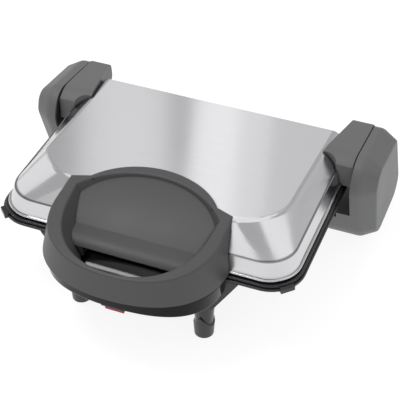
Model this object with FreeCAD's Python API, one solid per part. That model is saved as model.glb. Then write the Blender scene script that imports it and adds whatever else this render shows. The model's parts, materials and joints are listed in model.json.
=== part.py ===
import FreeCAD, Part
import math
import os

os.makedirs("parts", exist_ok=True)

# A countertop sandwich maker: a black base on two front legs and two rear hinge pods, and a steel lid with a
# scooped handle that swings back through half a turn and can float upwards over thick bread.
# Millimetres, +X to the right, +Y to the back, +Z up. The origin is on the table, under the middle.

# Lid cover, a steel pressing
lid_width = 300.0
lid_depth = 214.0
lid_corner_radius = 31.0
lip_level = 90.5
lip_height = 2.6
lip_overhang = 1.4
lip_round = 1.1
band_height = 18.0
band_inset = 4.6
crease_step = 1.0
plateau_front_inset = 27.0
plateau_side_inset = 22.0
plateau_rear_inset = 4.0
plateau_front_height = 41.0
plateau_rear_height = 27.0
plateau_front_radius = 55.0
plateau_rear_radius = 14.0
plateau_round = 9.0
plateau_rear_round = 1.8
sheet = 1.0

# Hinge line and how far the lid floats
axis_behind_lid = 12.0
float_travel = 12.0
pin_radius = 4.0
pin_head_radius = 6.5
pin_head_length = 2.5
bush_radius = 7.0
knuckle_radius = 13.0
running_clearance = 0.06

# Hinge pods at both rear corners
pod_front_reach = 80.0
pod_rear_reach = 55.0
pod_top_height = 35.0
pod_lid_gap = 11.2
pod_face_width = 16.3
pod_bevel = 9.5
pod_shoulder_round = 12.0
pod_face_round = 3.0
pod_wall = 3.0
pod_outline_shares = [
    (0.000, 0.765, 0.20),
    (0.075, 1.000, 0.18),
    (0.700, 0.912, 0.16),
    (1.113, 0.000, 0.22),
    (0.235, 0.000, 0.32),
]
arm_seam_gap = 0.8
arm_front_reach = 77.0
arm_clearance = 0.7
arm_lift = 1.0
arm_tail = 20.0
arm_outline_radius_shares = (0.10, 0.72, 0.36, 0.20)
arm_tail_height_share = 0.72
arm_tail_share = 0.80
arm_tongue_depth = 12.0
arm_tongue_length = 26.0
arm_tongue_height = 6.0
arm_round = 1.2
bracket_width = 62.6
bracket_rise = 8.0
guide_thickness = 4.0
rail_width = 2.4
slider_width = 14.0
slider_height = 12.0
slider_thickness = 5.0

# Rear corner of the lid and the base that the arms pass through
corner_inner_inset = 22.7
corner_outer_inset = 6.0
corner_knee = 47.0
corner_front = 56.0
corner_rear_inset = 3.5
corner_bulge = 2.5
base_corner_front = 46.0

# Base housing
rim_overhang = 6.0
rim_height = 6.0
rim_step = 2.0
rim_round = 0.9
rim_corner_radius = 35.0
rim_gap = 1.0
rim_ledge = 8.0
pan_depth = 46.0
pan_front_taper = 30.0
pan_side_taper = 18.0
pan_corner_radius = 30.0
base_wall = 3.0
lug_length = 14.0
lug_reach = 2.5
lug_height = 4.5

# Lid frame, a black ring that carries the upper plate
frame_height = 14.0
frame_lift = 0.6
frame_clearance = 0.3
ledge_width = 7.0
ledge_thickness = 3.0
plate_corner_margin = 10.0

# Cooking plates, heaters and what hangs from them
plate_inset = 9.0
plate_corner_radius = 22.0
plate_gap = 6.0
plate_thickness = 5.0
rib_height = 3.0
rib_pitch = 12.0
rib_foot = 6.0
rib_crest = 3.0
plate_border = 8.0
channel_width = 14.0
seat_clearance = 0.3
element_radius = 3.5
element_bend = 24.0
element_inset = 42.0
element_gap = 0.1
stud_radius = 3.0
stud_length = 9.0
stud_inset = 25.0
reflector_sheet = 0.8
reflector_inset = 14.0
reflector_lip = 5.0
nut_radius = 4.5
nut_height = 3.0
fuse_radius = 4.0
fuse_length = 22.0
thermostat_radius = 8.0
thermostat_height = 7.0
terminal_size = 30.0
terminal_depth = 14.0
terminal_height = 12.0
terminal_bore = 2.2

# Upper handle, one grey moulding on the lid
handle_reach = 75.0
handle_bottom_half_width = 91.5
handle_top_half_width = 81.5
handle_top_reach = 66.0
handle_top_plane = 48.0
handle_round = 2.5
handle_fullness_share = 0.63
handle_gap = 0.8
ear_bottom = 50.0
ear_top = 27.0
arch_start_share = 0.78
arch_rise_share = 0.16
arch_bottom = 110.0
arch_top = 63.0
crest_front_height = 24.5
crest_middle_height = 38.0
crest_rear_height = 46.5
crest_reach = 80.0
pocket_top_half_width = 77.0
pocket_bottom_half_width = 49.0
pocket_top_front = 72.0
pocket_bottom_front = 56.0
pocket_ear_top = 22.0
pocket_ear_bottom = 16.0
pocket_arch_top = 57.0
pocket_arch_bottom = 40.0
scoop_edge = 30.0
scoop_edge_height = 12.0
scoop_roll = 17.0
scoop_crease = 7.0
scoop_crease_height = 18.5
scoop_middle = 24.0
scoop_middle_height = 33.5
scoop_rear = 61.0
scoop_rear_height = 42.0
scoop_floor_wall = 3.0
recess_half_width = 78.0
recess_ear = 27.0
recess_arch = 62.0
recess_clearance = 0.4
handle_wall = 3.0
cavity_half_width = 44.0
boss_radius = 4.5

# Lower handle, a black moulding on the base
grip_reach = 64.0
grip_half_width = 89.5
grip_fullness_share = 0.69
grip_top = 2.0
grip_bottom = 22.0
grip_draft = 1.5
grip_round = 2.0
dish_depth = 9.0
dish_half_width = 64.0
dish_margin = 7.0
dish_rear_margin = 15.0
tongue_depth = 10.0

# Power rocker
rocker_width = 19.0
rocker_depth = 13.0
rocker_front_margin = 11.0
rocker_proud = 6.5
rocker_gap = 0.5
rocker_frame_wall = 1.2
rocker_frame_height = 10.0
rocker_flange = 0.6
rocker_pivot_height = 3.0
rocker_pin_radius = 1.2
rocker_tilt = 7.0

# Front legs and feet
leg_half_spacing = 66.0
leg_setback = 0.5
leg_top_radius = 13.0
leg_bottom_radius = 8.0
gusset_reach = 36.0
gusset_drop = 42.0
gusset_thickness = 5.0
foot_wall = 1.6
foot_height = 30.0
foot_base = 3.0
foot_bevel = 2.5
foot_arch_share = 0.45
pad_radius = 9.0
pad_height = 2.0

# Cord inlet, screws
inlet_radius = 7.0
inlet_bore = 4.0
inlet_flange_radius = 10.0
inlet_flange = 3.0
inlet_length = 16.0
inlet_offset = 60.0
inlet_height = 30.0
screw_radius = 2.0
screw_head_radius = 4.0
screw_head_height = 2.4
screw_length = 9.0
screw_fit = 0.05
handle_screw_spacing = 26.0

# One overrun for every cut that goes right through, and how near counts as touching
over = 5.0
touch = 0.001

# Places worked out from the sizes above
lip_front = (handle_reach - lid_depth - axis_behind_lid - pod_rear_reach) / 2
lip_rear = lip_front + lid_depth
axis_y = lip_rear + axis_behind_lid
axis_z = lip_level
half_lid = lid_width / 2
pod_seam = half_lid + lip_overhang + pod_lid_gap
pod_shoulder_half_width = pod_seam + guide_thickness + slider_thickness + seat_clearance
pod_half_width = pod_shoulder_half_width + pod_face_width
bracket_inner_half_width = pod_seam - bracket_width
corner_inner_half_width = half_lid - corner_inner_inset
corner_outer_half_width = half_lid - corner_outer_inset
corner_rear_half_width = half_lid - corner_rear_inset
plate_bottom_level = lip_level - plate_gap / 2
plate_top_level = lip_level + plate_gap / 2


def vec(x, y, z):
    return FreeCAD.Vector(x, y, z)


def block(x0, x1, y0, y1, z0, z1):
    """A box between two corners."""
    return Part.makeBox(x1 - x0, y1 - y0, z1 - z0, vec(x0, y0, z0))


def rod(radius, length, start, direction):
    """A round bar from start along direction."""
    return Part.makeCylinder(radius, length, start, direction)


def both_sides(shape):
    """The right-hand shape and its mirror image on the left."""
    return shape, shape.mirror(vec(0, 0, 0), vec(1, 0, 0))


def save(node, shape):
    """Write one node, cleaned of seams between faces that lie on one surface."""
    shape.removeSplitter().exportStep("parts/" + node + ".step")


def save_pair(node, shape):
    """Write the right-hand node and its mirror image on the left."""
    right, left = both_sides(shape.removeSplitter())
    right.exportStep("parts/" + node + "_right.step")
    left.exportStep("parts/" + node + "_left.step")


def rounded_wire(points, radii, place):
    """A closed outline with a round of the given radius at each corner; place turns (u, v) into a point."""
    count = len(points)
    starts = []
    ends = []
    middles = []
    for i in range(count):
        here = points[i]
        before = points[i - 1]
        after = points[(i + 1) % count]
        to_before = (before[0] - here[0], before[1] - here[1])
        to_after = (after[0] - here[0], after[1] - here[1])
        len_before = math.hypot(*to_before)
        len_after = math.hypot(*to_after)
        unit_before = (to_before[0] / len_before, to_before[1] / len_before)
        unit_after = (to_after[0] / len_after, to_after[1] / len_after)
        cosine = unit_before[0] * unit_after[0] + unit_before[1] * unit_after[1]
        half = math.acos(max(-1.0, min(1.0, cosine))) / 2
        reach = radii[i] / math.tan(half)
        starts.append((here[0] + unit_before[0] * reach, here[1] + unit_before[1] * reach))
        ends.append((here[0] + unit_after[0] * reach, here[1] + unit_after[1] * reach))
        bisector = (unit_before[0] + unit_after[0], unit_before[1] + unit_after[1])
        size = math.hypot(*bisector)
        inward = radii[i] / math.sin(half) - radii[i]
        middles.append((here[0] + bisector[0] / size * inward, here[1] + bisector[1] / size * inward))
    edges = []
    for i in range(count):
        if radii[i] > 0:
            edges.append(Part.Arc(place(*starts[i]), place(*middles[i]), place(*ends[i])).toShape())
        edges.append(Part.LineSegment(place(*ends[i]), place(*starts[(i + 1) % count])).toShape())
    return Part.Wire(edges)


def plan(height):
    """Places plan points on a level."""
    return lambda x, y: vec(x, y, height)


def side(x):
    """Places side-view points, (y, z), on a plane across X."""
    return lambda y, z: vec(x, y, z)


def tray_wire(half_width, front, rear, front_radius, rear_radius, height):
    """A plan rectangle with rounded corners."""
    points = [(-half_width, front), (half_width, front), (half_width, rear), (-half_width, rear)]
    return rounded_wire(points, [front_radius, front_radius, rear_radius, rear_radius], plan(height))


def slab(wire, height):
    """A flat outline made solid upwards."""
    return Part.Face(wire).extrude(vec(0, 0, height))


def loft(wires):
    """Straight walls from one outline to the next, made solid."""
    return Part.makeLoft(wires, True, True)


def across(wire, width):
    """A side-view outline made solid along +X."""
    return Part.Face(wire).extrude(vec(width, 0, 0))


def round_edges(shape, radius, wanted):
    """Rounds every edge whose box passes the test."""
    return shape.makeFillet(radius, [edge for edge in shape.Edges if wanted(edge.BoundBox)])


def lies_on(edge, face):
    """Whether an edge lies on a face, judged by its ends and its middle."""
    middle = edge.valueAt((edge.FirstParameter + edge.LastParameter) / 2)
    points = [vertex.Point for vertex in edge.Vertexes] + [middle]
    return all(face.distToShape(Part.Vertex(point))[0] < touch for point in points)


# Rear corners that the arms pass through

def corner_cut(front, grow):
    """Both rear corner prisms, whose inner walls stand grow nearer to the middle."""
    inner = corner_inner_half_width - grow
    rear_inner = corner_rear_half_width - grow
    outer = half_lid + rim_overhang + over
    start = lip_rear - front - grow
    knee = lip_rear - corner_knee - grow
    rear = axis_y + over + pod_rear_reach
    points = [(corner_outer_half_width, start), (outer, start), (outer, rear), (rear_inner, rear),
              (inner, knee)]
    points = [vec(x, y, -over) for x, y in points]
    middle = (points[0] + points[-1]) / 2 + vec(corner_bulge, corner_bulge, 0)
    curve = Part.Arc(points[-1], middle, points[0]).toShape()
    wire = Part.Wire(Part.makePolygon(points).Edges + [curve])
    right, left = both_sides(slab(wire, lip_level + pod_top_height + lip_level))
    return right.fuse(left)


# Lid cover

def lid_skin(inset):
    """The lid's outer form as a filled solid, drawn in by inset on every side but the open bottom."""
    foot = lip_level - (over if inset > 0 else 0)
    crease = lip_level + band_height
    radius = lid_corner_radius - inset
    band_low = tray_wire(half_lid - inset, lip_front + inset, lip_rear - inset, radius, radius, foot)
    top_inset = band_inset + inset
    band_high = tray_wire(half_lid - top_inset, lip_front + top_inset,
                          lip_rear - plateau_rear_inset / 2 - inset, radius, radius, crease - inset)
    skirt_inset = top_inset + crease_step
    skirt_low = tray_wire(half_lid - skirt_inset, lip_front + skirt_inset, lip_rear + plateau_round,
                          radius, radius, crease - inset)
    plateau = tray_wire(half_lid - plateau_side_inset - inset, lip_front + plateau_front_inset + inset,
                        lip_rear + plateau_round, plateau_front_radius - inset, plateau_rear_radius,
                        lip_level + plateau_front_height - inset)
    run = lid_depth - plateau_front_inset - plateau_rear_inset
    slope = math.degrees(math.atan2(plateau_front_height - plateau_rear_height, run))
    front_edge = vec(0, lip_front + plateau_front_inset, lip_level + plateau_front_height)
    plateau.rotate(front_edge, vec(-1, 0, 0), slope)
    top = loft([skirt_low, plateau])
    above_skirt = crease + (plateau_rear_height - band_height) / 2 - inset
    top = round_edges(top, plateau_round - inset, lambda box: box.ZMin > above_skirt)
    return loft([band_low, band_high]).fuse(top.cut(behind_lid(inset)))


def behind_lid(inset):
    """All that lies behind the lid's rear wall, which leans a little to the front."""
    head = lip_level + plateau_rear_height
    brow = lip_rear - plateau_rear_inset - inset
    far = lip_rear + lid_depth
    points = [(lip_rear - inset, lip_level), (brow, head), (brow, far), (far, far), (far, lip_level)]
    outline = Part.makePolygon([vec(-half_lid, y, z) for y, z in points + points[:1]])
    return across(outline, lid_width)


def scoop_space(drop, half_width):
    """All that lies over the scoop's floor, or over a floor that lies lower by drop."""
    top = lip_level + lid_depth
    edge = vec(-half_width, lip_front - scoop_edge - drop, lip_level + scoop_edge_height - drop)
    roll = vec(-half_width, lip_front - scoop_roll, lip_level + scoop_crease_height - drop)
    crease = vec(-half_width, lip_front - scoop_crease, lip_level + scoop_crease_height - drop)
    middle = vec(-half_width, lip_front + scoop_middle, lip_level + scoop_middle_height - drop)
    end = vec(-half_width, lip_front + scoop_rear, lip_level + scoop_rear_height - drop)
    rise = (roll.z - edge.z) * (1 - math.sqrt(0.5))
    shoulder = vec(-half_width, (edge.y + roll.y) / 2 - rise / 2, roll.z - rise)
    high_rear = vec(-half_width, end.y, top)
    high_front = vec(-half_width, edge.y, top)
    outline = Part.Wire([
        Part.Arc(edge, shoulder, roll).toShape(),
        Part.LineSegment(roll, crease).toShape(),
        Part.Arc(crease, middle, end).toShape(),
        Part.LineSegment(end, high_rear).toShape(),
        Part.LineSegment(high_rear, high_front).toShape(),
        Part.LineSegment(high_front, edge).toShape(),
    ])
    return across(outline, 2 * half_width)


def handle_recess(grow):
    """What the handle's scoop takes out of the lid: its floor's underside and the plan of its inner rim."""
    floor = scoop_space(scoop_floor_wall + grow, recess_half_width + grow)
    outline = handle_wire(recess_half_width + grow, handle_reach, recess_ear + grow, recess_arch + grow,
                          lip_level)
    return floor.common(slab(outline, lid_depth))


def make_lid_cover():
    brow = lip_level + (band_height + plateau_rear_height) / 2
    outer = round_edges(lid_skin(0), plateau_rear_round, lambda box: box.XLength > half_lid
                        and box.YMin > lip_rear - plateau_rear_inset - touch and box.ZMin > brow)
    lip_wire = tray_wire(half_lid + lip_overhang, lip_front - lip_overhang, lip_rear + lip_overhang,
                         lid_corner_radius + lip_overhang, lid_corner_radius + lip_overhang, lip_level)
    lip = round_edges(slab(lip_wire, lip_height), lip_round, lambda box: box.ZLength < touch)
    skin = outer.fuse(lip).cut(lid_skin(sheet))
    skin = skin.cut(corner_cut(corner_front, 0))
    skin = skin.cut(handle_recess(recess_clearance))
    return skin.cut(handle_screw_set(screw_fit))


# Lid frame

def plate_area(inset, foot, height):
    """A block with the plates' outline, drawn in by inset, with the rear corners left out for the arms."""
    margin = plate_inset + inset
    radius = plate_corner_radius - inset
    outline = tray_wire(half_lid - margin, lip_front + margin, lip_rear - margin, radius, radius, foot)
    return slab(outline, height).cut(corner_cut(corner_front, plate_corner_margin + inset))


def make_lid_frame():
    foot = lip_level + frame_lift
    ring = lid_skin(sheet + frame_clearance).common(
        block(-half_lid, half_lid, lip_front, lip_rear, foot, lip_level + frame_height))
    ring = ring.cut(corner_cut(corner_front, arm_clearance))
    seat = upper_plate_back() + seat_clearance / 2
    ring = ring.cut(plate_area(-seat_clearance, foot - over, seat - foot + over))
    ring = ring.cut(plate_area(ledge_width, foot - over, frame_height + 2 * over))
    ring = ring.cut(handle_recess(recess_clearance))
    ring = ring.cut(handle_screw_set(screw_fit))
    return ring.cut(plate_screw_set(upper_plate_face(), -1, screw_fit))


# Cooking plates

def lower_plate_face():
    return plate_bottom_level - rib_height


def upper_plate_face():
    return plate_top_level + rib_height


def lower_plate_back():
    return lower_plate_face() - plate_thickness


def upper_plate_back():
    return upper_plate_face() + plate_thickness


def rib_bar(x, front, rear, face, up):
    """One rib with sloping flanks along Y, standing on face upwards (up 1) or hanging from it (up -1)."""
    foot = rib_foot / 2
    crest = rib_crest / 2
    top = face + up * rib_height
    corners = [(x - foot, face), (x + foot, face), (x + crest, top), (x - crest, top)]
    outline = Part.makePolygon([vec(u, front, w) for u, w in corners + corners[:1]])
    return Part.Face(outline).extrude(vec(0, rear - front, 0))


def stud_places():
    """Four places for the studs behind a plate: near the front corners and, further in, at the rear."""
    margin = plate_inset + stud_inset
    inner = half_lid - plate_inset - element_inset - element_radius - stud_radius - stud_inset / 2
    return [
        (half_lid - margin, lip_front + margin),
        (-half_lid + margin, lip_front + margin),
        (inner, lip_rear - margin),
        (-inner, lip_rear - margin),
    ]


def make_plate(face, up):
    """A ribbed plate with a border as high as its ribs and a grease channel along the front."""
    back = face - up * plate_thickness
    low = min(face, back)
    plate = plate_area(0, low, plate_thickness)
    border_low = min(face, face + up * rib_height)
    border = plate_area(0, border_low, rib_height).cut(plate_area(plate_border, border_low - over,
                                                                  rib_height + 2 * over))
    field = plate_area(plate_border, border_low, rib_height)
    front = lip_front + plate_inset + plate_border + channel_width
    rear = lip_rear - plate_inset
    count = int((half_lid - plate_inset - plate_border - rib_foot / 2) / rib_pitch)
    ribs = [rib_bar(i * rib_pitch, front, rear, face, up) for i in range(-count, count + 1)]
    ribs = Part.makeCompound(ribs).common(field)
    plate = plate.fuse([border] + ribs.Solids)
    studs = [rod(stud_radius, stud_length, vec(x, y, back), vec(0, 0, -up)) for x, y in stud_places()]
    plate = plate.fuse(studs)
    return plate.cut(plate_screw_set(face, up, screw_fit))


def plate_screw_places():
    margin = plate_inset + plate_border / 2 + plate_corner_radius * (1 - math.sqrt(0.5))
    rear = lip_rear - plate_inset - plate_border / 2
    inner = corner_inner_half_width - plate_corner_margin - plate_border
    return [
        (half_lid - margin, lip_front + margin),
        (-half_lid + margin, lip_front + margin),
        (inner, rear),
        (-inner, rear),
    ]


def plate_screw_set(face, up, fit):
    """Countersunk screws through the plate's border into the ledge behind it."""
    top = face + up * rib_height
    screws = []
    for x, y in plate_screw_places():
        away = vec(0, 0, -up)
        head = Part.makeCone(screw_head_radius + fit - screw_radius / 2, screw_radius + fit,
                             screw_head_height, vec(x, y, top), away)
        shank = rod(screw_radius + fit, screw_length + plate_thickness / 2, vec(x, y, top), away)
        screws.append(head.fuse(shank))
    return Part.makeCompound(screws)


def make_element(level):
    """A bent heater rod: down one side, in to the middle, across and back, with both ends at the rear."""
    outer = half_lid - plate_inset - element_inset
    inner = outer / 3
    front = lip_front + plate_inset + element_inset
    rear = lip_rear - plate_inset - reflector_inset - reflector_lip
    middle = (front + rear) / 2 + element_bend
    half_run = [(-outer, rear), (-outer, front), (-inner, front), (-inner, middle)]
    run = [vec(x, y, level) for x, y in half_run + [(-x, y) for x, y in reversed(half_run)]]
    pieces = []
    here = run[0]
    for before, corner, after in zip(run, run[1:], run[2:]):
        back = (before - corner).normalize()
        ahead = (after - corner).normalize()
        start = corner + back * element_bend
        centre = start + ahead * element_bend
        pieces.append(rod(element_radius, start.distanceToPoint(here), here, start - here))
        turn = Part.makeTorus(element_bend, element_radius, vec(0, 0, 0), vec(0, 0, 1), -180, 180, 90)
        first = min((-ahead, -back), key=lambda way: way.cross(-ahead - back).z < 0)
        turn.rotate(vec(0, 0, 0), vec(0, 0, 1), math.degrees(math.atan2(first.y, first.x)))
        pieces.append(turn.translated(centre))
        here = corner + ahead * element_bend
    pieces.append(rod(element_radius, run[-1].distanceToPoint(here), here, run[-1] - here))
    return pieces[0].fuse(pieces[1:])


def make_reflector(seat, up):
    """A shallow tray of thin sheet on the studs' ends, its lip turned towards the plate."""
    floor = min(seat, seat + up * reflector_sheet)
    tray = plate_area(reflector_inset, floor, reflector_sheet)
    lip_low = min(seat, seat - up * reflector_lip)
    lip = plate_area(reflector_inset, lip_low, reflector_lip)
    lip = lip.cut(plate_area(reflector_inset + reflector_sheet, lip_low - over, reflector_lip + 2 * over))
    return tray.fuse(lip)


def make_nuts(seat, up):
    """A nut on the sheet under each stud."""
    nuts = []
    for x, y in stud_places():
        turns = [math.radians(60 * i) for i in range(6)]
        hexagon = [vec(x + nut_radius * math.cos(turn), y + nut_radius * math.sin(turn), seat)
                   for turn in turns]
        nuts.append(Part.Face(Part.makePolygon(hexagon + hexagon[:1])).extrude(vec(0, 0, up * nut_height)))
    return Part.makeCompound(nuts)


def make_fuse(seat, up):
    """A thermal fuse: a round body between two clips, lying on the sheet."""
    level = seat + up * (fuse_radius + reflector_sheet)
    start = vec(-fuse_length / 2, lip_front + lid_depth / 2, level)
    body = rod(fuse_radius, fuse_length, start, vec(1, 0, 0))
    clip = fuse_length / 6
    low = min(seat, level)
    for x in (-fuse_length / 2, fuse_length / 2 - clip):
        body = body.fuse(block(x, x + clip, start.y - fuse_radius, start.y + fuse_radius, low,
                               low + fuse_radius + reflector_sheet))
    return body


# Base housing

def base_form(inset):
    """The base's outer form as a filled solid, drawn in by inset."""
    reach = rim_overhang - inset
    top = lip_level - rim_gap + (over if inset > 0 else 0)
    rim_bottom = lip_level - rim_gap - rim_height
    radius = rim_corner_radius - inset
    if inset > 0:
        rim = plate_area(ledge_width, rim_bottom, top - rim_bottom)
    else:
        low = slab(tray_wire(half_lid + reach, lip_front - reach, lip_rear + reach, radius, radius,
                             rim_bottom), rim_height / 2)
        inner = reach - rim_step
        inner_radius = radius - rim_step
        high = slab(tray_wire(half_lid + inner, lip_front - inner, lip_rear + inner, inner_radius,
                              inner_radius, rim_bottom), rim_height)
        rim = round_edges(low, rim_round, lambda box: box.ZLength < touch)
        rim = rim.fuse(round_edges(high, rim_round, lambda box: box.ZMin > rim_bottom))
    ledge = reach - rim_ledge
    pan_radius = pan_corner_radius - inset
    floor = lip_level - pan_depth + inset
    high = tray_wire(half_lid + ledge, lip_front - ledge, lip_rear + ledge, pan_radius, pan_radius,
                     rim_bottom)
    low = tray_wire(half_lid + ledge - pan_side_taper, lip_front - ledge + pan_front_taper, lip_rear + ledge,
                    pan_radius, pan_radius, floor)
    return rim.fuse(loft([high, low]))


def make_base_housing():
    rim_bottom = lip_level - rim_gap - rim_height
    body = base_form(0).cut(corner_cut(base_corner_front, 0))
    hollow = base_form(base_wall).cut(corner_cut(base_corner_front, base_wall))
    ledge_top = lower_plate_back()
    ledge = plate_area(-ledge_width, ledge_top - ledge_thickness, ledge_thickness)
    ledge = ledge.cut(plate_area(ledge_width, ledge_top - over - ledge_thickness, ledge_thickness + 2 * over))
    hollow = hollow.cut(ledge)
    body = body.cut(hollow)
    body = body.cut(plate_area(-seat_clearance, ledge_top, over + pan_depth))
    groove_outer = rim_overhang - base_wall
    groove_inner = rim_overhang - rim_ledge
    groove_radius = rim_corner_radius - base_wall
    groove = slab(tray_wire(half_lid + groove_outer, lip_front - groove_outer, lip_rear + groove_outer,
                            groove_radius, groove_radius, rim_bottom), rim_height - base_wall)
    core_radius = pan_corner_radius
    core = slab(tray_wire(half_lid + groove_inner, lip_front - groove_inner, lip_rear + groove_inner,
                          core_radius, core_radius, rim_bottom - over), rim_height + 2 * over)
    body = body.cut(groove.cut(core).cut(corner_cut(base_corner_front, base_wall)))
    body = body.fuse(list(both_sides(corner_lug())))
    body = body.cut(inlet_bar(inlet_radius + screw_fit))
    body = body.cut(bracket_screw_set(screw_fit))
    return body.cut(plate_screw_set(lower_plate_face(), 1, screw_fit))


def corner_lug():
    """A small lug low on the rim's front corner."""
    reach = half_lid + rim_overhang
    inward = rim_corner_radius * (1 - math.sqrt(0.5))
    corner = vec(reach - inward, lip_front - rim_overhang + inward, lip_level - rim_gap - rim_height)
    lug = block(-lug_length / 2, lug_length / 2, -lug_reach, base_wall, 0, lug_height)
    lug.rotate(vec(0, 0, 0), vec(0, 0, 1), 45)
    return lug.translated(corner)


def inlet_level():
    return lip_level - inlet_height


def inlet_wall():
    """Where the pan's rear wall stands."""
    return lip_rear + rim_overhang - rim_ledge


def inlet_bar(radius):
    start = vec(inlet_offset, inlet_wall() - inlet_length, inlet_level())
    return rod(radius, inlet_length, start, vec(0, 1, 0))


def make_inlet():
    """A bush for the mains lead: a barrel through the rear wall with a round flange outside."""
    seat = vec(inlet_offset, inlet_wall(), inlet_level())
    flange = rod(inlet_flange_radius, inlet_flange, seat, vec(0, 1, 0))
    bush = inlet_bar(inlet_radius).fuse(flange)
    start = vec(inlet_offset, inlet_wall() - inlet_length - over, inlet_level())
    return bush.cut(rod(inlet_bore, inlet_length + inlet_flange + 2 * over, start, vec(0, 1, 0)))


def make_thermostat():
    """A disc thermostat on the reflector's underside: a stepped can with two blade tabs."""
    seat = reflector_seat_low()
    place = vec(terminal_size, lip_front + lid_depth / 2, seat - reflector_sheet)
    can = rod(thermostat_radius, thermostat_height, place, vec(0, 0, -1))
    collar = rod(thermostat_radius + stud_radius, reflector_sheet * 2, place, vec(0, 0, -1))
    body = can.fuse(collar)
    for x in (-thermostat_radius / 2, thermostat_radius / 2):
        tab = block(place.x + x - reflector_sheet, place.x + x + reflector_sheet, place.y - stud_radius,
                    place.y + stud_radius, place.z - thermostat_height - stud_radius,
                    place.z - thermostat_height)
        body = body.fuse(tab)
    return body


def make_terminal_block():
    """A three-way terminal block on the pan's floor, bored through each way."""
    floor = lip_level - pan_depth + base_wall
    rear = inlet_wall() - inlet_length - base_wall * 2
    body = block(inlet_offset - terminal_size / 2, inlet_offset + terminal_size / 2, rear - terminal_depth,
                 rear, floor, floor + terminal_height)
    for i in (-1, 0, 1):
        start = vec(inlet_offset + i * terminal_size / 3, rear - terminal_depth - over,
                    floor + terminal_height / 2)
        body = body.cut(rod(terminal_bore, terminal_depth + 2 * over, start, vec(0, 1, 0)))
    return body


def reflector_seat_low():
    return lower_plate_back() - stud_length


def reflector_seat_high():
    return upper_plate_back() + stud_length


# Hinge pods

def pod_bottom():
    return pad_height


def pod_wire(x, inset):
    """The pod's side outline on a plane across X, drawn in by inset."""
    length = pod_front_reach + pod_rear_reach
    height = lip_level + pod_top_height - pod_bottom()
    points = []
    radii = []
    for along, up, radius in pod_outline_shares:
        points.append((axis_y - pod_front_reach + along * length, pod_bottom() + up * height))
        radii.append(radius * height)
    wire = rounded_wire(points, radii, side(x))
    if inset > 0:
        wire = wire.makeOffset2D(-inset)
    return wire


def make_pod_cap():
    """The outer half of a pod: a cup with a bevelled outer face, open towards the arm."""
    shell = across(pod_wire(pod_seam, 0), pod_shoulder_half_width - pod_seam)
    shell = shell.fuse(loft([pod_wire(pod_shoulder_half_width, 0), pod_wire(pod_half_width, pod_bevel)]))
    shell = round_edges(shell, pod_face_round, lambda box: box.XMin > pod_half_width - touch)
    shell = round_edges(shell, pod_shoulder_round, lambda box: box.XLength < touch
                        and abs(box.XMin - pod_shoulder_half_width) < touch)
    mouth = across(pod_wire(pod_seam, pod_wall), pod_shoulder_half_width - pod_seam)
    deep = loft([pod_wire(pod_shoulder_half_width, pod_wall),
                 pod_wire(pod_half_width - pod_wall, pod_wall + pod_bevel)])
    return shell.cut(mouth).cut(deep)


def make_hinge_guide():
    """The plate in a pod's mouth, with the pin's upright slot and the rails that the slider runs between."""
    plate = across(pod_wire(pod_seam, pod_wall + seat_clearance / 2), guide_thickness)
    half = pin_radius + arm_clearance
    low = axis_z - half
    high = axis_z + float_travel + half
    slot = block(pod_seam - over, pod_seam + guide_thickness + over, axis_y - half, axis_y + half, low, high)
    plate = plate.cut(slot)
    rail_start = axis_z - slider_height / 2 - rail_width
    rail_end = axis_z + slider_height / 2 + float_travel + rail_width
    x0 = pod_seam + guide_thickness
    x1 = x0 + slider_thickness
    gap = slider_width / 2 + seat_clearance
    rails = [
        block(x0, x1, axis_y - gap - rail_width, axis_y - gap, rail_start, rail_end),
        block(x0, x1, axis_y + gap, axis_y + gap + rail_width, rail_start, rail_end),
        block(x0, x1, axis_y - gap, axis_y + gap, rail_start - seat_clearance,
              axis_z - slider_height / 2 - seat_clearance),
        block(x0, x1, axis_y - gap, axis_y + gap,
              axis_z + slider_height / 2 + float_travel + seat_clearance, rail_end),
    ]
    return plate.fuse(rails)


def slider_start():
    return pod_seam + guide_thickness + seat_clearance


def make_slider():
    """The block that carries the pin and runs up and down between the rails."""
    x0 = slider_start()
    body = block(x0, x0 + slider_thickness, axis_y - slider_width / 2, axis_y + slider_width / 2,
                 axis_z - slider_height / 2, axis_z + slider_height / 2)
    start = vec(x0 - over, axis_y, axis_z)
    return body.cut(rod(pin_radius, slider_thickness + 2 * over, start, vec(1, 0, 0)))


def pin_start():
    return corner_outer_half_width - over / 2


def make_pin():
    """The hinge pin: a plain shank with a flat head behind the slider."""
    end = slider_start() + slider_thickness
    shank = rod(pin_radius, end - pin_start(), vec(pin_start(), axis_y, axis_z), vec(1, 0, 0))
    return shank.fuse(rod(pin_head_radius, pin_head_length, vec(end, axis_y, axis_z), vec(1, 0, 0)))


def make_bush():
    """The bush in the arm's knuckle that turns on the pin."""
    start = pin_start()
    length = pod_seam - arm_seam_gap - start
    bush = rod(bush_radius, length, vec(start, axis_y, axis_z), vec(1, 0, 0))
    return bush.cut(rod(pin_radius + running_clearance, length + 2 * over, vec(start - over, axis_y, axis_z),
                        vec(1, 0, 0)))


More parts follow.
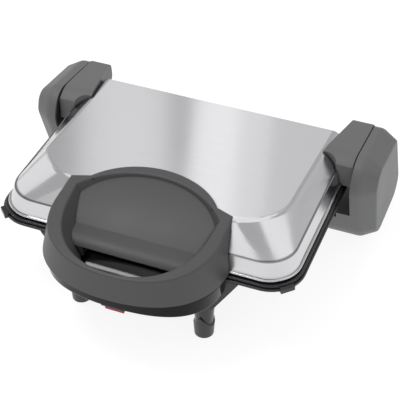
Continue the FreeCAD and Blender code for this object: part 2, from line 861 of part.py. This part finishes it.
def make_arm():
    """The lid's arm: it fills the lid's cut corner, runs back over the hinge line and ends in a knuckle."""
    foot = lip_level + arm_lift
    height = lip_level + pod_top_height
    length = pod_front_reach + pod_rear_reach
    points = [
        (axis_y - arm_front_reach, foot),
        (axis_y - pod_front_reach + pod_outline_shares[1][0] * length, height),
        (axis_y + arm_tail * arm_tail_share, lip_level + pod_top_height * arm_tail_height_share),
        (axis_y + arm_tail, foot),
    ]
    radii = [share * pod_top_height for share in arm_outline_radius_shares]
    inner = corner_inner_half_width - over
    seam = pod_seam - arm_seam_gap
    prism = across(rounded_wire(points, radii, side(inner)), seam - inner)
    prism = round_edges(prism, arm_round, lambda box: box.XMin > seam - touch)
    lid_side = half_lid + lip_overhang + arm_clearance
    shoulder = lip_rear - corner_front + arm_clearance
    tail = axis_y + pod_rear_reach
    corners = [(lid_side, shoulder), (seam, shoulder), (seam, tail), (lid_side, tail)]
    outside = slab(Part.makePolygon([vec(x, y, lip_level) for x, y in corners + corners[:1]]), height)
    arm = prism.common(corner_cut(corner_front, -arm_clearance).fuse(outside))
    arm = arm.fuse(rod(knuckle_radius, seam - corner_outer_half_width,
                       vec(corner_outer_half_width, axis_y, axis_z), vec(1, 0, 0)))
    tongue_rear = lip_rear - plateau_rear_inset - lid_corner_radius / 2
    tongue_foot = lip_level + frame_height
    tongue = block(corner_inner_half_width - arm_tongue_depth, corner_outer_half_width,
                   tongue_rear - arm_tongue_length, tongue_rear, tongue_foot, tongue_foot + arm_tongue_height)
    arm = arm.fuse(tongue)
    start = vec(pin_start(), axis_y, axis_z)
    return arm.cut(rod(bush_radius, seam, start, vec(1, 0, 0)))


def above_bracket(wall):
    """All that lies over a bracket, which is higher beside the pan than under it, lowered by a wall."""
    top = lip_level - pan_depth - wall
    high = lip_level + pod_top_height + over
    reach = pod_front_reach + pod_rear_reach
    step = half_lid + rim_overhang - rim_ledge + wall
    under = block(bracket_inner_half_width - over, step, axis_y - reach, axis_y + reach, top, high)
    beside = block(step, pod_seam + over, axis_y - reach, axis_y + reach, top + bracket_rise, high)
    return under.fuse(beside)


def make_bracket():
    """The lower inner half of a pod: a cup open towards the pod's cap, screwed under the pan as a rear foot."""
    top = lip_level - pan_depth
    body = across(pod_wire(bracket_inner_half_width, 0), bracket_width)
    hollow = across(pod_wire(bracket_inner_half_width + pod_wall, pod_wall), bracket_width)
    body = body.cut(above_bracket(0)).cut(hollow.cut(above_bracket(pod_wall)))
    bosses = [rod(boss_radius, screw_length, vec(x, y, top), vec(0, 0, -1))
              for x, y in bracket_screw_places()]
    return body.fuse(bosses).cut(bracket_screw_set(screw_fit))


def bracket_screw_places():
    y = inlet_wall() - base_wall - screw_head_radius * 2
    return [(bracket_inner_half_width + i * screw_head_radius * 2.5, y) for i in (1, 2)]


def bracket_screw_set(fit):
    """Screws from inside the pan down into the brackets."""
    level = lip_level - pan_depth + base_wall
    screws = []
    for x, y in bracket_screw_places():
        for sign in (1, -1):
            head = rod(screw_head_radius + fit, screw_head_height, vec(sign * x, y, level), vec(0, 0, 1))
            shank = rod(screw_radius + fit, screw_length, vec(sign * x, y, level), vec(0, 0, -1))
            screws.append(head.fuse(shank))
    return Part.makeCompound(screws)


def make_rear_pads():
    """Rubber pads under the brackets."""
    pads = []
    for share in (0.25, 0.75):
        x = bracket_inner_half_width + share * bracket_width
        for sign in (1, -1):
            place = vec(sign * x, axis_y + pod_rear_reach / 2, 0)
            pads.append(rod(pad_radius, pad_height, place, vec(0, 0, 1)))
    return Part.makeCompound(pads)


# Upper handle

def front_curve(half_width, reach, fullness_share, height):
    """Half an oval in front of the lip's middle, squarer for a larger share."""
    flank = lip_front - reach * fullness_share
    head = half_width * fullness_share
    poles = [(half_width, lip_front), (half_width, flank), (head, lip_front - reach)]
    poles = [vec(-x, y, height) for x, y in poles] + [vec(x, y, height) for x, y in reversed(poles)]
    curve = Part.BSplineCurve()
    curve.buildFromPolesMultsKnots(poles, [4, 2, 4], [0, 1, 2], False, 3)
    return curve.toShape()


def handle_wire(half_width, reach, ear, arch, height):
    """A plan outline: half an oval in front, straight sides, two ears and an arch at the rear."""
    start_x = arch_start_share * half_width
    start_y = ear + arch_rise_share * (arch - ear)
    right = vec(half_width, lip_front, height)
    right_ear = vec(half_width, lip_front + ear, height)
    right_start = vec(start_x, lip_front + start_y, height)
    apex = vec(0, lip_front + arch, height)
    left_start = vec(-start_x, lip_front + start_y, height)
    left_ear = vec(-half_width, lip_front + ear, height)
    left = vec(-half_width, lip_front, height)
    return Part.Wire([
        front_curve(half_width, reach, handle_fullness_share, height),
        Part.LineSegment(right, right_ear).toShape(),
        Part.LineSegment(right_ear, right_start).toShape(),
        Part.Arc(right_start, apex, left_start).toShape(),
        Part.LineSegment(left_start, left_ear).toShape(),
        Part.LineSegment(left_ear, left).toShape(),
    ])


def pocket_wire(half_width, reach, ear, arch, height):
    """The pocket's plan outline: half an oval in front, straight sides and one arc from ear to ear."""
    right = vec(half_width, lip_front, height)
    right_ear = vec(half_width, lip_front + ear, height)
    left_ear = vec(-half_width, lip_front + ear, height)
    left = vec(-half_width, lip_front, height)
    return Part.Wire([
        front_curve(half_width, reach, handle_fullness_share, height),
        Part.LineSegment(right, right_ear).toShape(),
        Part.Arc(right_ear, vec(0, lip_front + arch, height), left_ear).toShape(),
        Part.LineSegment(left_ear, left).toShape(),
    ])


def handle_crest():
    """All that lies under the handle's crest line, a shallow arc seen from the side."""
    width = handle_bottom_half_width + over
    front = vec(-width, lip_front - crest_reach, lip_level + crest_front_height)
    middle = vec(-width, lip_front, lip_level + crest_middle_height)
    rear = vec(-width, lip_front + crest_reach, lip_level + crest_rear_height)
    low_rear = vec(-width, rear.y, lip_level - over)
    low_front = vec(-width, front.y, lip_level - over)
    outline = Part.Wire([
        Part.Arc(front, middle, rear).toShape(),
        Part.LineSegment(rear, low_rear).toShape(),
        Part.LineSegment(low_rear, low_front).toShape(),
        Part.LineSegment(low_front, front).toShape(),
    ])
    return across(outline, 2 * width)


def handle_screw_places():
    level = lip_level + band_height / 2
    return [(-handle_screw_spacing, level), (handle_screw_spacing, level)]


def handle_screw_set(fit):
    """Screws from inside the lid frame through the steel band into the handle."""
    seat = lip_front + plate_inset - seat_clearance - screw_head_height
    screws = []
    for x, z in handle_screw_places():
        head = rod(screw_head_radius + fit, screw_head_height + fit, vec(x, seat, z), vec(0, 1, 0))
        shank = rod(screw_radius + fit, seat - lip_front + screw_length, vec(x, seat, z), vec(0, -1, 0))
        screws.append(head.fuse(shank))
    return Part.makeCompound(screws)


def make_lid_handle():
    foot = lip_level + handle_gap
    top = lip_level + handle_top_plane
    body = loft([
        handle_wire(handle_bottom_half_width, handle_reach, ear_bottom, arch_bottom, foot),
        handle_wire(handle_top_half_width, handle_top_reach, ear_top, arch_top, top),
    ]).common(handle_crest())
    pocket = loft([
        pocket_wire(pocket_bottom_half_width, pocket_bottom_front, pocket_ear_bottom, pocket_arch_bottom,
                    lip_level - over),
        pocket_wire(pocket_top_half_width, pocket_top_front, pocket_ear_top, pocket_arch_top, top),
    ])
    finger_gap = block(-half_lid, half_lid, lip_front - handle_reach, lip_front - scoop_edge,
                       lip_level - over, top)
    pocket = pocket.common(scoop_space(0, half_lid).fuse(finger_gap))
    body = body.cut(pocket).Solids[0]
    crest = max(handle_crest().Faces, key=lambda face: face.BoundBox.ZMin)
    body = body.makeFillet(handle_round, [edge for edge in body.Edges if lies_on(edge, crest)])
    cavity_rear = lip_front - lip_overhang - handle_wall
    cavity = block(-cavity_half_width, cavity_half_width, lip_front - scoop_edge - handle_wall, cavity_rear,
                   lip_level - over, top).cut(scoop_space(handle_wall, half_lid))
    body = body.cut(cavity)
    bosses = []
    for x, z in handle_screw_places():
        bosses.append(rod(boss_radius, screw_length, vec(x, cavity_rear, z), vec(0, -1, 0)))
    body = body.fuse(bosses)
    lip_grown = lip_overhang + seat_clearance
    keep_out = lid_skin(-seat_clearance).fuse(slab(
        tray_wire(half_lid + lip_grown, lip_front - lip_grown, lip_rear + lip_grown,
                  lid_corner_radius + lip_grown, lid_corner_radius + lip_grown, lip_level - over),
        lip_height + seat_clearance + over))
    body = body.cut(keep_out.cut(handle_recess(0)))
    return body.cut(handle_screw_set(screw_fit))


# Lower handle

def grip_wire(draft, level):
    """The lower handle's plan outline: half an oval cut off straight at the base's rim."""
    half_width = grip_half_width - draft
    left = vec(-half_width, lip_front, level)
    right = vec(half_width, lip_front, level)
    curve = front_curve(half_width, grip_reach - draft, grip_fullness_share, level)
    return Part.Wire([curve, Part.LineSegment(right, left).toShape()])


def grip_tongue():
    """The tongue that holds the lower handle under the rim, between the legs."""
    foot = lip_level - grip_bottom
    rim_front = lip_front - rim_overhang
    half_width = leg_half_spacing - leg_top_radius - seat_clearance
    tongue = block(-half_width, half_width, rim_front, rim_front + tongue_depth, foot, leg_top())
    return tongue.cut(base_form(0))


def make_lower_handle():
    top = lip_level - grip_top
    foot = lip_level - grip_bottom
    rim_front = lip_front - rim_overhang
    body = loft([grip_wire(grip_draft, foot), grip_wire(0, top)])
    body = round_edges(body, grip_round, lambda box: box.YMin < rim_front - grip_round)
    body = body.cut(block(-half_lid, half_lid, rim_front, lip_front + over, foot - over, top + over))
    dish_rear = rim_front - dish_rear_margin
    dish_front = lip_front - grip_reach + dish_margin
    half_chord = (dish_rear - dish_front) / 2
    radius = (half_chord ** 2 + dish_depth ** 2) / (2 * dish_depth)
    centre = vec(-half_lid, (dish_rear + dish_front) / 2, top - dish_depth + radius)
    trough = rod(radius, lid_width, centre, vec(1, 0, 0))
    rounded = slab(Part.Wire([
        front_curve(dish_half_width, grip_reach - dish_margin, grip_fullness_share, foot),
        Part.LineSegment(vec(dish_half_width, lip_front, foot), vec(-dish_half_width, lip_front, foot))
        .toShape(),
    ]), grip_bottom)
    body = body.fuse(grip_tongue()).cut(trough.common(rounded))
    body = body.cut(rocker_space(rocker_frame_wall, 0, rocker_frame_height))
    leg = Part.makeCone(leg_bottom_radius + seat_clearance, leg_top_radius + seat_clearance,
                        leg_top() - foot_base, leg_place(foot_base), vec(0, 0, 1))
    gusset = block(leg_half_spacing, half_lid, rim_front - seat_clearance, lip_front, foot - over, leg_top())
    return body.cut(list(both_sides(leg.fuse(gusset))))


# Power rocker

def rocker_y():
    return lip_front - grip_reach + rocker_front_margin


def rocker_pivot():
    return vec(0, rocker_y(), lip_level - grip_bottom + rocker_pivot_height)


def rocker_space(grow, drop, height):
    """A block round the rocker, from the lower handle's underside, lowered by drop, upwards."""
    half_width = rocker_width / 2 + rocker_gap + grow
    half_depth = rocker_depth / 2 + rocker_gap + grow
    foot = lip_level - grip_bottom - drop
    return block(-half_width, half_width, rocker_y() - half_depth, rocker_y() + half_depth, foot,
                 foot + drop + height)


def make_rocker_frame():
    """The rocker's frame: a collar in the lower handle with a thin flange under it."""
    frame = rocker_space(rocker_frame_wall, 0, rocker_frame_height)
    frame = frame.fuse(rocker_space(rocker_frame_wall + rocker_flange, rocker_flange, 0))
    frame = frame.cut(rocker_space(0, over, over + rocker_frame_height))
    hole = rocker_pin_radius + running_clearance
    length = rocker_width + 2 * rocker_gap + rocker_frame_wall
    return frame.cut(rod(hole, length, rocker_pivot() - vec(length / 2, 0, 0), vec(1, 0, 0)))


def make_rocker():
    """The red rocker: a keel with a shallow vee under it and two stub pins, tilted to its off side."""
    pivot = rocker_pivot()
    half = rocker_depth / 2
    flange_foot = lip_level - grip_bottom - rocker_proud
    dip = half * math.tan(math.radians(rocker_tilt))
    crown = pivot.z + rocker_pin_radius * 2
    points = [
        (pivot.y - half, flange_foot),
        (pivot.y, flange_foot + dip),
        (pivot.y + half, flange_foot),
        (pivot.y + half - rocker_gap, pivot.z),
        (pivot.y + half / 2, crown),
        (pivot.y - half / 2, crown),
        (pivot.y - half + rocker_gap, pivot.z),
    ]
    outline = Part.makePolygon([vec(-rocker_width / 2, y, z) for y, z in points + points[:1]])
    body = across(outline, rocker_width)
    length = rocker_width + 2 * rocker_gap + rocker_frame_wall / 2
    body = body.fuse(rod(rocker_pin_radius, length, pivot - vec(length / 2, 0, 0), vec(1, 0, 0)))
    body.rotate(pivot, vec(1, 0, 0), rocker_tilt)
    return body


# Front legs and feet

def leg_place(level):
    return vec(leg_half_spacing, lip_front + leg_setback, level)


def leg_top():
    return lip_level - rim_gap - rim_height


def leg_radius(level):
    """The leg's radius at a height above the table."""
    share = (level - foot_base) / (leg_top() - foot_base)
    return leg_bottom_radius + share * (leg_top_radius - leg_bottom_radius)


def make_leg():
    """A tapered leg up to the base's rim, with a gusset outside, trimmed to the pan's sloping front."""
    leg = Part.makeCone(leg_bottom_radius, leg_top_radius, leg_top() - foot_base, leg_place(foot_base),
                        vec(0, 0, 1))
    low = leg_top() - gusset_drop
    inner = leg_half_spacing + leg_radius(low)
    points = [
        (leg_half_spacing, low),
        (inner, low),
        (leg_half_spacing + gusset_reach, leg_top()),
        (leg_half_spacing, leg_top()),
    ]
    front = lip_front - rim_overhang
    outline = Part.makePolygon([vec(x, front, z) for x, z in points + points[:1]])
    leg = leg.fuse(Part.Face(outline).extrude(vec(0, gusset_thickness, 0)))
    return leg.cut(base_form(0))


def make_foot():
    """A rubber shoe on the leg's end, its upper edge a pointed arch at the front and the back."""
    grown = foot_wall
    bevel_radius = leg_radius(foot_bevel) + grown
    shoe = Part.makeCone(bevel_radius - foot_bevel, bevel_radius, foot_bevel, leg_place(0), vec(0, 0, 1))
    shoe = shoe.fuse(Part.makeCone(bevel_radius, leg_radius(foot_height) + grown, foot_height - foot_bevel,
                                   leg_place(foot_bevel), vec(0, 0, 1)))
    bore = Part.makeCone(leg_bottom_radius, leg_radius(foot_height + over), foot_height + over - foot_base,
                         leg_place(foot_base), vec(0, 0, 1))
    shoe = shoe.cut(bore)
    reach = leg_top_radius + over
    shoulder = foot_height * (1 - foot_arch_share)
    drop = foot_height * foot_arch_share * (reach / (leg_radius(shoulder) + grown))
    corners = [
        (leg_half_spacing, foot_height),
        (leg_half_spacing + reach, foot_height - drop),
        (leg_half_spacing + reach, foot_height + over),
        (leg_half_spacing - reach, foot_height + over),
        (leg_half_spacing - reach, foot_height - drop),
    ]
    start = leg_place(0).y - reach
    outline = Part.makePolygon([vec(x, start, z) for x, z in corners + corners[:1]])
    return shoe.cut(Part.Face(outline).extrude(vec(0, 2 * reach, 0)))


# Every node

def main():
    save("lid_cover", make_lid_cover())
    save("lid_frame", make_lid_frame())
    save("upper_plate", make_plate(upper_plate_face(), -1))
    save("upper_element", make_element(upper_plate_back() + element_gap + element_radius))
    save("upper_reflector", make_reflector(reflector_seat_high(), 1))
    save("upper_reflector_nuts", make_nuts(reflector_seat_high() + reflector_sheet, 1))
    save("upper_thermal_fuse", make_fuse(reflector_seat_high() + reflector_sheet, 1))
    save("upper_plate_screws", plate_screw_set(upper_plate_face(), -1, 0))
    save("lid_handle", make_lid_handle())
    save("handle_screws", handle_screw_set(0))
    save_pair("lid_arm", make_arm())
    save_pair("hinge_bush", make_bush())
    save_pair("hinge_pin", make_pin())
    save_pair("hinge_slider", make_slider())
    save_pair("hinge_guide", make_hinge_guide())
    save_pair("pod_cap", make_pod_cap())
    save_pair("hinge_bracket", make_bracket())
    save("bracket_screws", bracket_screw_set(0))
    save("rear_foot_pads", make_rear_pads())
    save("base_housing", make_base_housing())
    save("lower_plate", make_plate(lower_plate_face(), 1))
    save("lower_element", make_element(lower_plate_back() - element_gap - element_radius))
    save("lower_reflector", make_reflector(reflector_seat_low(), -1))
    save("lower_reflector_nuts", make_nuts(reflector_seat_low() - reflector_sheet, -1))
    save("lower_thermal_fuse", make_fuse(reflector_seat_low() - reflector_sheet, -1))
    save("lower_plate_screws", plate_screw_set(lower_plate_face(), 1, 0))
    save("thermostat", make_thermostat())
    save("terminal_block", make_terminal_block())
    save("cord_inlet", make_inlet())
    save("lower_handle", make_lower_handle())
    save("rocker_frame", make_rocker_frame())
    save("power_rocker", make_rocker())
    save_pair("front_leg", make_leg())
    save_pair("front_foot", make_foot())


main()
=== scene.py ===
import json
import math

import bpy
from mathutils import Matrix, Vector

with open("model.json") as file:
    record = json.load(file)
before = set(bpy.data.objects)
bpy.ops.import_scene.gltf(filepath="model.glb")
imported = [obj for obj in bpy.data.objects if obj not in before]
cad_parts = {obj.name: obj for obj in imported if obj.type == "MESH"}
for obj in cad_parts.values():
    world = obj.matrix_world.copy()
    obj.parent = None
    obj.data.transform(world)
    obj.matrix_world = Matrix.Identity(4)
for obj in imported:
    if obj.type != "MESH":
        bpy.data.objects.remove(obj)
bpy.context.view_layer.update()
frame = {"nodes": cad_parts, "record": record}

# Lengths are in metres, tones and radiances are linear, and a noise's scale is per metre.

scene = bpy.context.scene
up = Vector((0.0, 0.0, 1.0))

# Camera, fitted to the photograph. The lens and the sensor are in millimetres.
camera_place = Vector((0.3587, -0.8528, 0.8522))
camera_target = Vector((0.0210, 0.0002, 0.0751))
camera_lens = 107.32
camera_sensor = 36.0

# Directions in plan, as the camera sees them
view_right = (camera_target - camera_place).cross(up).normalized()
view_ahead = up.cross(view_right)

# Finish
usual_noise = (0.25, 0.75)      # what a noise mostly keeps to
usual_relief = 0.0002
# Painted shade in hollows and creases: how far from a hollow's bottom it reaches, and its samples
crease_shade_reach = 0.003
crease_shade_samples = 8
# The lid's step line is painted shadow: its height, its half width, and the share of the tone left in its
# middle
lid_step_level = 0.1087
lid_step_shadow_half_width = 0.0009
lid_step_shadow_share = 0.25           # of the tone, in the middle of the step's painted shadow line
shaded_wall_rise = 0.1                 # a normal's Z, up to which a face's reflection is painted dark as shade
full_gloss_rise = 0.4             # and from which it has its full gloss

# Studio
paper_half_width = 40.0
paper_tone = 0.22
paper_mottle = 0.864
paper_glow = 0.88
studio_white = (1.0, 1.0, 1.0, 1.0)
world_strength = 0.58
lit_point = Vector((0.0, 0.0, 0.1))

# Materials by slot, or by node where a node has its own
materials = {}


# Node helpers

def grey(level):
    return (level, level, level)


def shaded(tone, share):
    return (*(share * channel for channel in tone), 1.0)


def fill_sockets(node, sockets):
    """Puts constants on a node's inputs. Underscores stand for the spaces in their names."""
    for socket, value in sockets.items():
        node.inputs[socket.replace("_", " ")].default_value = value


def shader_of(made):
    return made.node_tree.nodes["Principled BSDF"]


def new_material(slot, finish, **sockets):
    """A material for a slot, with the given constants on its shader's sockets."""
    made = bpy.data.materials.new(f"{slot}_{finish}")
    made.use_nodes = True
    fill_sockets(shader_of(made), sockets)
    materials[slot] = made
    return made


def add_node(made, kind, **sockets):
    node = made.node_tree.nodes.new(f"ShaderNode{kind}")
    fill_sockets(node, sockets)
    return node


def add_math(made, kind, operation):
    node = add_node(made, kind)
    node.operation = operation
    return node


def link(made, source, target):
    made.node_tree.links.new(source, target)


def coordinates(made, output):
    """The part's own places, "Object", or its own normals, "Normal"."""
    return add_node(made, "TexCoord").outputs[output]


def upward(made, source):
    """The Z of a vector."""
    split = add_node(made, "SeparateXYZ")
    link(made, source, split.inputs["Vector"])
    return split.outputs["Z"]


def noise(made, scale, stretch=(1.0, 1.0, 1.0), detail=4.0):
    """A noise over the part's own places, drawn out along an axis whose stretch is under 1."""
    mapping = add_node(made, "Mapping", Scale=stretch)
    texture = add_node(made, "TexNoise", Scale=scale, Detail=detail)
    link(made, coordinates(made, "Object"), mapping.inputs["Vector"])
    link(made, mapping.outputs["Vector"], texture.inputs["Vector"])
    return texture.outputs["Fac"]


def vary_colour(made, source, tone, low, high=1.0):
    """Spreads the base colour by a source, between two shares of a tone."""
    mix = add_node(made, "Mix")
    mix.data_type = "RGBA"
    fill_sockets(mix, {"A": shaded(tone, low), "B": shaded(tone, high)})
    link(made, source, mix.inputs["Factor"])
    link(made, mix.outputs["Result"], shader_of(made).inputs["Base Color"])


def vary_roughness(made, source, middle, spread):
    """Spreads the roughness by a source, up to a share of itself on either side."""
    low, high = usual_noise
    ramp = add_node(made, "MapRange", From_Min=low, From_Max=high,
                    To_Min=middle * (1.0 - spread), To_Max=middle * (1.0 + spread))
    link(made, source, ramp.inputs["Value"])
    link(made, ramp.outputs["Result"], shader_of(made).inputs["Roughness"])


def add_bump(made, source, strength, relief=usual_relief):
    """Raises the surface by a source."""
    bump = add_node(made, "Bump", Strength=strength, Distance=relief)
    link(made, source, bump.inputs["Height"])
    link(made, bump.outputs["Normal"], shader_of(made).inputs["Normal"])


def paint_crease_shade(made):
    """Paints shade into the base colour where faces meet in a hollow."""
    hollow = add_node(made, "AmbientOcclusion", Distance=crease_shade_reach)
    hollow.samples = crease_shade_samples
    colour = shader_of(made).inputs["Base Color"]
    link(made, colour.links[0].from_socket, hollow.inputs["Color"])
    link(made, hollow.outputs["Color"], colour)


def paint_step_shadow(made):
    """Paints a shadow line along the lid's pressed step, which keeps to one height of the part."""
    above = add_math(made, "Math", "SUBTRACT")
    above.inputs[1].default_value = lid_step_level
    away = add_math(made, "Math", "ABSOLUTE")
    share = add_node(made, "MapRange", From_Max=lid_step_shadow_half_width, To_Min=lid_step_shadow_share)
    shadowed_colour = add_math(made, "VectorMath", "SCALE")
    colour = shader_of(made).inputs["Base Color"]
    link(made, upward(made, coordinates(made, "Object")), above.inputs[0])
    link(made, above.outputs["Value"], away.inputs[0])
    link(made, away.outputs["Value"], share.inputs["Value"])
    link(made, share.outputs["Result"], shadowed_colour.inputs["Scale"])
    link(made, colour.links[0].from_socket, shadowed_colour.inputs[0])
    link(made, shadowed_colour.outputs["Vector"], colour)


def paint_wall_shade(made):
    """Paints shade on reflections: tints those of upright faces dark, and leaves full gloss on faces that
    look up.
    """
    gloss = add_node(made, "MapRange", From_Min=shaded_wall_rise, From_Max=full_gloss_rise)
    link(made, upward(made, coordinates(made, "Normal")), gloss.inputs["Value"])
    link(made, gloss.outputs["Result"], shader_of(made).inputs["Specular Tint"])


# Materials

def brushed_steel(slot, tone, roughness, anisotropy):
    """Steel sheet brushed across its width, with fine grooves and faint cloudiness."""
    quarter_turn = 0.25
    made = new_material(slot, "brushed", Metallic=1.0, Anisotropic=anisotropy,
                        Anisotropic_Rotation=quarter_turn)
    tangent = add_node(made, "Tangent")
    tangent.direction_type = "RADIAL"
    tangent.axis = "Y"
    link(made, tangent.outputs["Tangent"], shader_of(made).inputs["Tangent"])
    grooves = noise(made, scale=900.0, stretch=(0.02, 1.0, 1.0))
    vary_colour(made, grooves, tone, low=0.93)
    vary_roughness(made, noise(made, scale=14.0), roughness, spread=0.08)
    add_bump(made, grooves, strength=0.03)
    # Painted shade in the creases
    paint_crease_shade(made)
    return made


def moulded_plastic(slot, tone, roughness, grain, shine=0.5):
    """Plastic with the fine grain of a mould and a slight unevenness of tone."""
    made = new_material(slot, "moulded", Specular_IOR_Level=shine)
    clouds = noise(made, scale=22.0)
    vary_colour(made, clouds, tone, low=0.9)
    vary_roughness(made, clouds, roughness, spread=0.08)
    add_bump(made, noise(made, scale=1400.0, detail=2.0), strength=grain)
    # Painted shade in the creases and hollows
    paint_crease_shade(made)
    return made


def coated_casting(slot, tone, roughness):
    """A cast plate with a speckled non-stick coating."""
    made = new_material(slot, "cast", Metallic=0.25)
    speckle = noise(made, scale=2200.0, detail=1.0)
    vary_colour(made, speckle, tone, low=1.0, high=1.8)
    vary_roughness(made, noise(made, scale=30.0), roughness, spread=0.15)
    add_bump(made, speckle, strength=0.15)


def bright_metal(slot, finish, tone, roughness, stretch):
    """Plated or rolled metal with fine scratches along one way."""
    made = new_material(slot, finish, Metallic=1.0)
    scratches = noise(made, scale=700.0, stretch=stretch)
    vary_colour(made, scratches, tone, low=0.85)
    vary_roughness(made, scratches, roughness, spread=0.2)
    add_bump(made, scratches, strength=0.08, relief=usual_relief / 2)


def woven_sleeve(slot, tone):
    """Glass sleeve with a fine weave."""
    made = new_material(slot, "woven", Roughness=0.8)
    weave = noise(made, scale=1500.0, stretch=(0.4, 1.0, 1.0))
    vary_colour(made, weave, tone, low=0.7)
    add_bump(made, weave, strength=0.5, relief=2 * usual_relief)


def make_seen_materials():
    """What the photograph shows. The lower handle has a black of its own, with painted shade on the
    reflections of its upright faces.
    """
    lid_steel = brushed_steel("lid_steel", tone=(0.64, 0.64, 0.655), roughness=0.12, anisotropy=1.0)
    # Painted shadow line along the lid's pressed step
    paint_step_shadow(lid_steel)
    moulded_plastic("handle_grey", tone=grey(0.064), roughness=0.48, grain=0.20)
    moulded_plastic("pod_grey", tone=(0.128, 0.129, 0.131), roughness=0.50, grain=0.25)
    moulded_plastic("base_black", tone=(0.016, 0.016, 0.018), roughness=0.20, grain=0.05)
    lower_handle = moulded_plastic("lower_handle", tone=(0.010, 0.010, 0.011), roughness=0.14, grain=0.05,
                                   shine=0.32)
    # Painted shade: the reflections of the lower handle's upright faces are tinted dark
    paint_wall_shade(lower_handle)
    moulded_plastic("foot_rubber", tone=grey(0.022), roughness=0.36, grain=0.25)
    moulded_plastic("rocker_red", tone=(0.28, 0.010, 0.036), roughness=0.30, grain=0.08)


def make_hidden_materials():
    """What lies inside, between the plates and in the pods."""
    moulded_plastic("frame_black", tone=grey(0.020), roughness=0.50, grain=0.20)
    coated_casting("plate_coating", tone=(0.025, 0.025, 0.026), roughness=0.42)
    bright_metal("heater_steel", "drawn", tone=(0.32, 0.29, 0.26), roughness=0.45, stretch=(0.1, 0.1, 1.0))
    bright_metal("reflector_sheet", "rolled", tone=grey(0.80), roughness=0.25, stretch=(0.03, 1.0, 1.0))
    bright_metal("fastener_steel", "plated", tone=(0.62, 0.62, 0.60), roughness=0.30, stretch=(1.0, 1.0, 0.2))
    bright_metal("hinge_steel", "turned", tone=(0.55, 0.55, 0.56), roughness=0.28, stretch=(1.0, 0.2, 0.2))
    moulded_plastic("hinge_nylon", tone=(0.72, 0.71, 0.66), roughness=0.45, grain=0.15)
    woven_sleeve("fuse_sleeve", tone=(0.70, 0.68, 0.60))
    bright_metal("switch_brass", "pressed", tone=(0.65, 0.50, 0.24), roughness=0.32, stretch=(0.3, 0.3, 1.0))
    moulded_plastic("terminal_white", tone=(0.78, 0.78, 0.75), roughness=0.55, grain=0.20)


def dress_nodes():
    """Gives every CAD node the material of its own name, or else of its slot in the record."""
    for row in frame["record"]["subparts"]:
        name = row["node"] if row["node"] in materials else row["material_slot"]
        for holder in frame["nodes"][row["node"]].material_slots:
            holder.material = materials[name]


# Studio

def aim(obj, place, target):
    obj.location = place
    obj.rotation_mode = "QUATERNION"
    obj.rotation_quaternion = (target - place).to_track_quat("-Z", "Y")


def make_camera():
    camera = bpy.data.objects.new("photo_camera", bpy.data.cameras.new("photo_camera"))
    camera.data.lens = camera_lens
    camera.data.sensor_width = camera_sensor
    scene.collection.objects.link(camera)
    aim(camera, camera_place, camera_target)
    scene.camera = camera


def make_floor():
    """A plain pale floor of glowing paper, faintly mottled."""
    half = paper_half_width
    corners = [(-half, -half, 0), (half, -half, 0), (half, half, 0), (-half, half, 0)]
    mesh = bpy.data.meshes.new("floor")
    mesh.from_pydata(corners, [], [(0, 1, 2, 3)])
    floor = bpy.data.objects.new("floor", mesh)
    made = new_material("floor", "paper", Roughness=0.9, Specular_IOR_Level=0.1,
                        Emission_Color=studio_white, Emission_Strength=paper_glow)
    vary_colour(made, noise(made, scale=3.0), grey(paper_tone), low=paper_mottle)
    mesh.materials.append(made)
    scene.collection.objects.link(floor)


def make_world():
    world = bpy.data.worlds.new("studio")
    world.use_nodes = True
    fill_sockets(world.node_tree.nodes["Background"], {"Color": studio_white, "Strength": world_strength})
    scene.world = world


def soft_box(name, ahead, right, height, size, radiance):
    """A soft box that the camera doesn't see, placed from under the object's middle and aimed at it."""
    light = bpy.data.lights.new(name, "AREA")
    light.shape = "RECTANGLE"
    light.size, light.size_y = size
    light.energy = radiance * math.pi * light.size * light.size_y
    holder = bpy.data.objects.new(name, light)
    holder.visible_camera = False
    scene.collection.objects.link(holder)
    aim(holder, ahead * view_ahead + right * view_right + height * up, lit_point)


def make_lights():
    """Upright strips behind make the lid's bright bands, and boxes at the sides and above fill the rest."""
    soft_box("back_left", ahead=2.00, right=-0.130, height=1.25, size=(0.257, 2.4), radiance=0.45)
    soft_box("back_right", ahead=1.90, right=0.127, height=1.25, size=(0.130, 2.4), radiance=0.25)
    soft_box("back_right_wide", ahead=1.95, right=0.175, height=1.25, size=(0.226, 2.4), radiance=0.20)
    soft_box("back_far_right", ahead=2.00, right=0.280, height=1.25, size=(0.440, 2.4), radiance=0.27)
    soft_box("front_left", ahead=-1.36, right=-1.02, height=1.95, size=(0.95, 1.9), radiance=0.60)
    soft_box("left_side", ahead=1.03, right=-1.47, height=0.85, size=(1.3, 1.2), radiance=0.55)
    soft_box("right_side", ahead=-0.34, right=1.26, height=1.56, size=(1.25, 1.25), radiance=0.62)
    soft_box("right_fill", ahead=0.60, right=1.45, height=0.80, size=(1.3, 1.3), radiance=0.13)
    soft_box("overhead", ahead=0.50, right=0.0, height=2.2, size=(2.0, 1.8), radiance=0.62)
    soft_box("overhead_key", ahead=-0.16, right=-0.87, height=2.1, size=(0.50, 0.50), radiance=13.0)


scene.view_settings.view_transform = "Standard"
make_seen_materials()
make_hidden_materials()
dress_nodes()
make_camera()
make_floor()
make_world()
make_lights()
